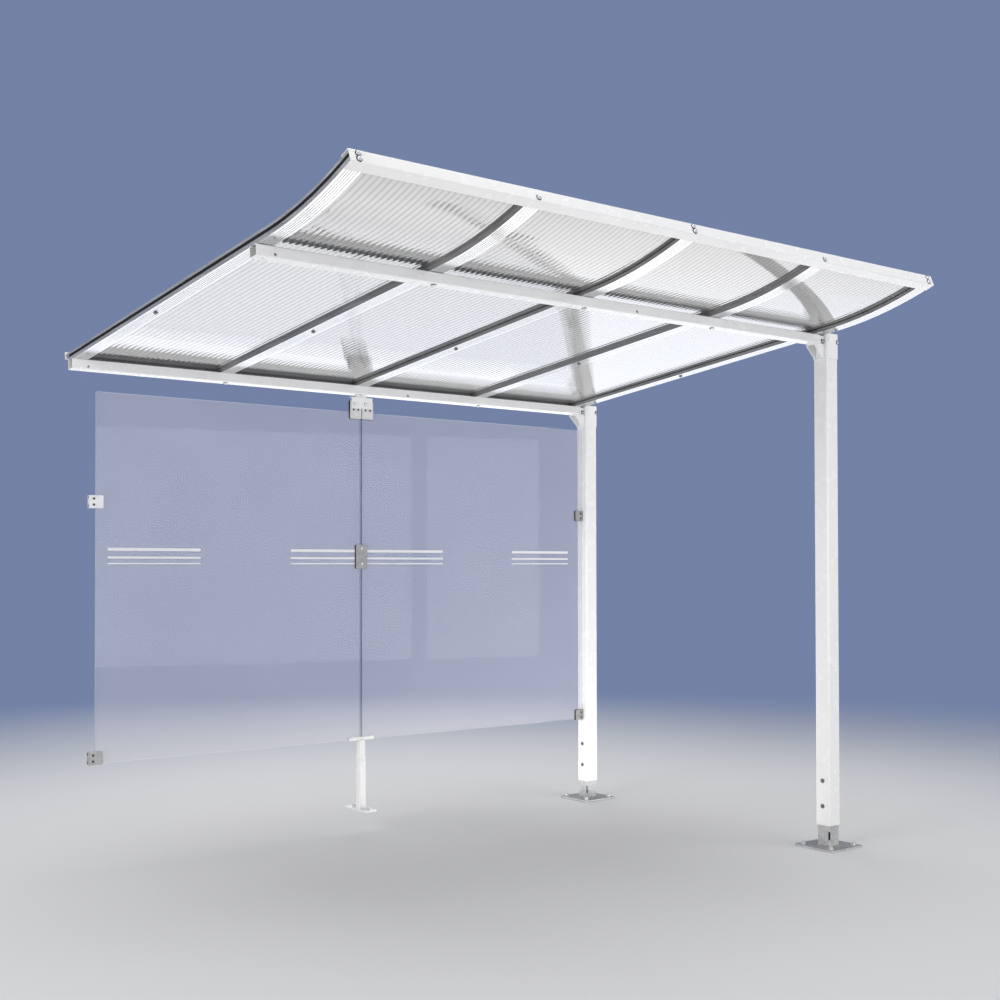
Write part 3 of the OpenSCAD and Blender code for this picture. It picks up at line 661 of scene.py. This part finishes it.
dress(post_white, "front_fascia")
BEND_Y = -0.1
BEND_R = 2.0
FRONT_SLOPE = math.radians(21.5)
FASCIA_FACE = -0.0024
SCREW_RISES = (0.010, 0.030)
bend_top = PURLIN_TOP - BEND_Y * math.tan(ROOF_SLOPE)
fascia_corner = Vector((
    0, BEND_Y + BEND_R * (math.sin(ROOF_SLOPE) - math.sin(FRONT_SLOPE)),
    bend_top + BEND_R * (math.cos(ROOF_SLOPE) - math.cos(FRONT_SLOPE))))
fascia_turn = Matrix.Rotation(-FRONT_SLOPE, 3, "X")
fascia_out = fascia_turn @ Vector((0, -1, 0))
fascia_screws = bmesh.new()
fascia_seals = bmesh.new()
for number, x in enumerate(rafter_x):
    for rise in (SCREW_RISES if number % 2 == 0 else SCREW_RISES[:1]):
        spot = fascia_corner + fascia_turn @ Vector((x, FASCIA_FACE, rise))
        place_sealed(fascia_screws, fascia_seals, spot, fascia_out)
keep_piece(fascia_screws, "fascia_screws", zinc_plate)
keep_piece(fascia_seals, "fascia_seals", rubber)


# Glass. Two panes of clear toughened glass with polished edges, side by side in the line of
# the rear post. Three printed white lines run across them, so that people see the glass.

JOINT_BAND = 0.02
glass, tree, shader, coords = start_finish("glass")
smear = range_of(tree, mottle(tree, coords, 3, 5), 0, 1)
tint = two_colours(tree, smear, (0.86, 0.80, 0.84), (0.92, 0.86, 0.90))
pane_edge = range_of(tree, facing_along(tree, "Y"), 1, 0, 0.3, 0.6)
glass_joint = (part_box("left_glass")[1].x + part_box("right_glass")[0].x) / 2
along = tree.nodes.new("ShaderNodeSeparateXYZ")
tree.links.new(coords, along.inputs[0])
at_joint = tree.nodes.new("ShaderNodeMath")
at_joint.operation = "COMPARE"
at_joint.inputs[1].default_value = glass_joint
at_joint.inputs[2].default_value = JOINT_BAND
tree.links.new(along.outputs["X"], at_joint.inputs[0])
edge_tint = two_colours(tree, at_joint.outputs[0], (0.42, 0.43, 0.47), (0.08, 0.09, 0.10))
tree.links.new(two_colours(tree, pane_edge, tint, edge_tint), shader.inputs["Base Color"])
tree.links.new(range_of(tree, mottle(tree, coords, 6, 4), 0.01, 0.05), shader.inputs["Roughness"])
see_through = tree.nodes.new("ShaderNodeBsdfTransparent")
see_through.inputs["Color"].default_value = (0.97, 0.98, 0.985, 1)
pane = mixed(tree, range_of(tree, pane_edge, 0.145, 0.65, 0, 1), see_through, shader)
tree.links.new(pane.outputs[0], tree.nodes["Material Output"].inputs["Surface"])
dress(glass, "left_glass", "right_glass")

print_white, tree, shader, coords = start_finish("print_white")
patchy = range_of(tree, mottle(tree, coords, 90, 4), 0, 1)
tint = two_colours(tree, patchy, (0.72, 0.725, 0.74), (0.78, 0.785, 0.80))
tree.links.new(tint, shader.inputs["Base Color"])
tree.links.new(range_of(tree, mottle(tree, coords, 300, 3), 0.35, 0.5), shader.inputs["Roughness"])
LINE_SPANS = ((-2.859, -2.410), (-1.934, -1.570), (-1.496, -1.023), (-0.557, -0.150))
LINE_HEIGHTS_AND_WIDTHS = ((1.412, 0.013), (1.375, 0.009), (1.348, 0.0055))
LINE_THICK = 0.0003
LINE_OUT = 0.0002
glass_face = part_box("left_glass")[0].y
lines = bmesh.new()
for start, end in LINE_SPANS:
    for z, wide in LINE_HEIGHTS_AND_WIDTHS:
        middle = Matrix.Translation(((start + end) / 2, glass_face - LINE_OUT, z))
        shape = Matrix.Diagonal((end - start, LINE_THICK, wide, 1))
        made = bmesh.ops.create_cube(lines, size=1, matrix=middle @ shape)
        corners = {edge for vert in made["verts"] for edge in vert.link_edges
                   if abs(edge.verts[0].co.y - edge.verts[1].co.y) > 0.0001}
        bmesh.ops.bevel(lines, geom=list(corners), offset=0.0015, segments=3, profile=0.5,
                        affect="EDGES", material=-1)
keep_piece(lines, "glass_lines", print_white)


# Glass clamps. Cast grey clamps with rounded corners hold the panes between rubber pads, each
# closed by small socket screws. Two hold the right pane to the rear post, and the two on the
# left wait for the next bay, so the bores for its screws are open.

BORE_RISE = 0.019
BORE_INSIDE = 0.0052
BORE_OUTSIDE = 0.0058


def cast_finish(name, dark, light, bored=None):
    """Makes a cast skin; the two side bores of the clamp `bored` are painted black inside, as
    painted shade.
    """
    finish, tree, shader, coords = start_finish(name)
    shader.inputs["Metallic"].default_value = 0.35
    cloudy = range_of(tree, mottle(tree, coords, 40, 5), 0, 1)
    tint = two_colours(tree, cloudy, dark, light)
    if bored:
        low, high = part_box(bored)
        from_bore = coords
        for operation, amount in (
            ("SUBTRACT", (low + high) / 2),
            ("ABSOLUTE", None),
            ("SUBTRACT", (0, 0, BORE_RISE)),
            ("MULTIPLY", (0, 1, 1)),
            ("LENGTH", None),
        ):
            step = tree.nodes.new("ShaderNodeVectorMath")
            step.operation = operation
            tree.links.new(from_bore, step.inputs[0])
            if amount:
                step.inputs[1].default_value = amount
            from_bore = step.outputs["Value" if operation == "LENGTH" else "Vector"]
        # Painted shade: the inside of the two side bores is coloured near black.
        bore_shade = range_of(tree, from_bore, 1, 0, BORE_INSIDE, BORE_OUTSIDE)
        tint = two_colours(tree, bore_shade, tint, (0.01, 0.01, 0.01))
    tree.links.new(tint, shader.inputs["Base Color"])
    rough = range_of(tree, mottle(tree, coords, 200, 4), 0.38, 0.55)
    tree.links.new(rough, shader.inputs["Roughness"])
    raise_surface(tree, shader, mottle(tree, coords, 700, 3), 0.00025, soft_edges(tree, 0.0012))
    return finish


CLAMPS = ("left_top_clamp", "right_top_clamp", "middle_clamp", "left_upper_clamp",
          "left_lower_clamp", "post_upper_clamp", "post_lower_clamp")
# Painted light and shade: the clamps are one cast metal, and its copies for the top and left clamps
# are painted lighter than the one for the middle and post clamps, for the light each clamp gets.
cast_metal = cast_finish("cast_metal", (0.25, 0.248, 0.243), (0.34, 0.337, 0.332))
cast_top_painted_lit = cast_finish("cast_top_painted_lit", (0.50, 0.50, 0.49), (0.62, 0.62, 0.61))
cast_left_upper_painted_lit = cast_finish("cast_left_upper_painted_lit", (0.58, 0.58, 0.58), (0.72, 0.72, 0.72),
                              bored="left_upper_clamp")
cast_left_lower_painted_lit = cast_finish("cast_left_lower_painted_lit", (0.33, 0.328, 0.322), (0.42, 0.418, 0.41),
                              bored="left_lower_clamp")
dress(cast_metal, "middle_clamp", "post_upper_clamp", "post_lower_clamp")
dress(cast_top_painted_lit, "left_top_clamp", "right_top_clamp")
dress(cast_left_upper_painted_lit, "left_upper_clamp")
dress(cast_left_lower_painted_lit, "left_lower_clamp")

PAD_PROUD = 0.0006
PAD_WIDE = 0.014
PAD_THICK = 0.002
PAD_CORNER = 0.005
clamp_pads = bmesh.new()
for name in CLAMPS:
    if name in ("left_upper_clamp", "left_lower_clamp"):
        continue
    low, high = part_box(name)
    against_post = PAD_PROUD * 3 if "post" in name else 0
    middle = (low + high) / 2 - Vector((against_post / 2, 0, 0))
    size = high - low + 2 * Vector((PAD_PROUD, 0, PAD_PROUD)) - Vector((against_post, 0, 0))
    shape = Matrix.Diagonal((size.x, PAD_WIDE, size.z, 1))
    band = bmesh.new()
    bmesh.ops.create_cube(band, size=1, matrix=Matrix.Translation(middle) @ shape)
    open_sides = [face for face in band.faces if abs(face.normal.y) > 0.5]
    bmesh.ops.delete(band, geom=open_sides, context="FACES")
    corners = [edge for edge in band.edges if not edge.is_boundary]
    bmesh.ops.bevel(band, geom=corners, offset=PAD_CORNER, segments=5, profile=0.5,
                    affect="EDGES", material=-1)
    bmesh.ops.solidify(band, geom=band.faces[:], thickness=PAD_THICK)
    bmesh.ops.recalc_face_normals(band, faces=band.faces[:])
    clamp_pads.from_mesh(as_pattern(band, "pad"))
keep_piece(clamp_pads, "clamp_pads", rubber)

black_screw = fastener_metal("black_screw", 0.5, (0.03, 0.03, 0.031), (0.08, 0.08, 0.082),
                             gloss=(0.3, 0.5), patches=300)
MIDDLE_SCREW_RISES = (0.042, -0.036)
TOP_SCREW_Z = 2.128
HALF_SCREW_GAP = 0.0135
LEFT_SCREW_IN = 0.022
POST_SCREW_IN = 0.018
clamp_screw = domed_bolt(0.009, 0.0025, 0.011)
clamp_screws = bmesh.new()
middle_screws = bmesh.new()
for name in CLAMPS:
    low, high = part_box(name)
    middle = (low + high) / 2
    screws = middle_screws if name == "middle_clamp" else clamp_screws
    if name == "middle_clamp":
        spots = [(middle.x, middle.z + rise) for rise in MIDDLE_SCREW_RISES]
    elif "top" in name:
        spots = [(middle.x - HALF_SCREW_GAP, TOP_SCREW_Z), (middle.x + HALF_SCREW_GAP, TOP_SCREW_Z)]
    else:
        side = low.x + LEFT_SCREW_IN if "left" in name else high.x - POST_SCREW_IN
        spots = [(side, middle.z + HALF_SCREW_GAP), (side, middle.z - HALF_SCREW_GAP)]
    for x, z in spots:
        place_copy(screws, clamp_screw, (x, low.y, z), (0, -1, 0))
keep_piece(clamp_screws, "clamp_screws", black_screw)
keep_piece(middle_screws, "middle_clamp_screws", bright_steel)


# Hanger. A folded white plate bolted up to the rear purlin over the glass joint. The two top
# clamps are held behind it by two bright bolts.

dress(post_white, "glass_hanger")
HANGER_BOLTS = (-0.0446, 0.021)
HANGER_BOLT_Z = 2.157
low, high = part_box("glass_hanger")
hanger_bolt = domed_bolt(0.016, 0.004, 0.0185)
hanger_bolts = bmesh.new()
for x in HANGER_BOLTS:
    place_copy(hanger_bolts, hanger_bolt,
               ((low.x + high.x) / 2 + x, low.y, HANGER_BOLT_Z), (0, -1, 0))
keep_piece(hanger_bolts, "hanger_bolts", bright_steel)


# Foot. A small white plate with two telescoped tubes under the glass joint, and a short
# channel that the panes stand in. Two anchors hold the plate down.

dress(post_white, "foot_plate", "foot_lower_tube", "foot_upper_tube", "glass_rail")
FOOT_ANCHORS = (-0.067, 0.067)
low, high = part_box("foot_plate")
centre = (low + high) / 2
foot_anchor = anchor(thread=0.010, nut_flats=0.016, washer=0.022, reach=0.012)
foot_anchors = bmesh.new()
for y in FOOT_ANCHORS:
    place_copy(foot_anchors, foot_anchor, (centre.x, centre.y + y, high.z), (0, 0, 1))
keep_piece(foot_anchors, "foot_anchors", zinc_plate)
weld_bead("foot_weld", centre, half=0.018, corner=0.004, z=high.z, thick=0.0025,
          finish=post_white)
